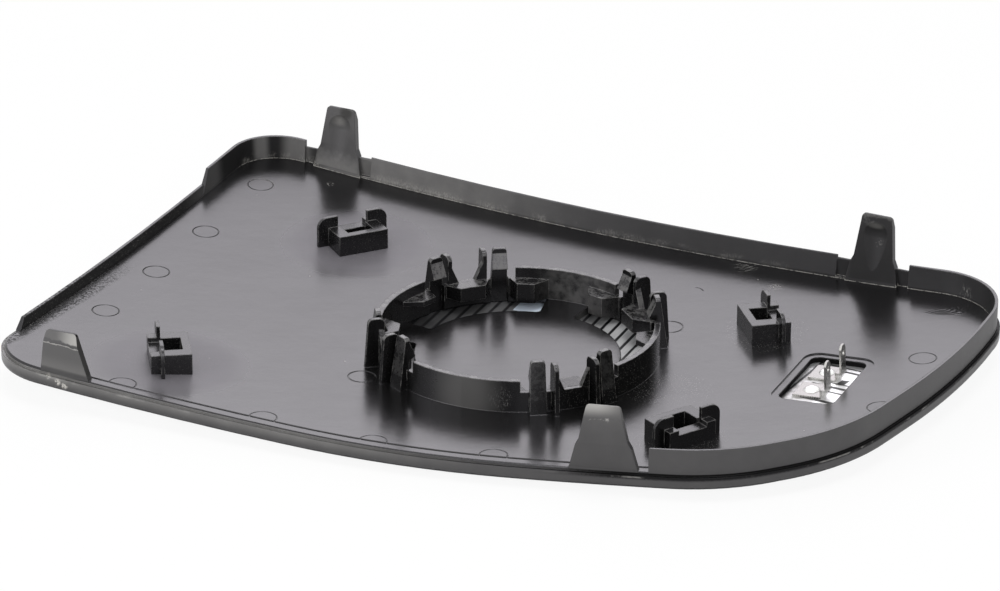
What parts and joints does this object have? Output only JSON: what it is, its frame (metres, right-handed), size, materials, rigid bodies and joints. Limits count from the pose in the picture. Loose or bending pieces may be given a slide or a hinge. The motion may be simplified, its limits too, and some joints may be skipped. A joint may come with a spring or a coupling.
{
  "type": "car door mirror glass",
  "caption": "Heated convex door mirror glass on a black moulded backing plate with a snap ring, hook brackets, rim tabs and blade terminals for the heater.",
  "frame": {"origin": "where the axis of the adjuster ring meets the back face of the plate", "axes": "+Z along the ring axis, away from the mirror face; +X along the long side towards the terminal window; +Y towards the long straight edge with two tabs"},
  "size_m": [0.1985, 0.1342, 0.0238],
  "materials": {
    "black_plastic": "semi-gloss moulded black",
    "heater_film": "etched foil tracks on dark film",
    "mirror": "silvered convex glass",
    "tinned_terminal": "bright tin plate",
    "rivet": "bright"
  },
  "bodies": {
    "root": {"backing_plate": "black_plastic", "heater_pad": "heater_film", "mirror_glass": "mirror", "blade_terminal_front": "tinned_terminal", "blade_terminal_rear": "tinned_terminal", "terminal_rivets": "rivet"}
  },
  "joints": []
}
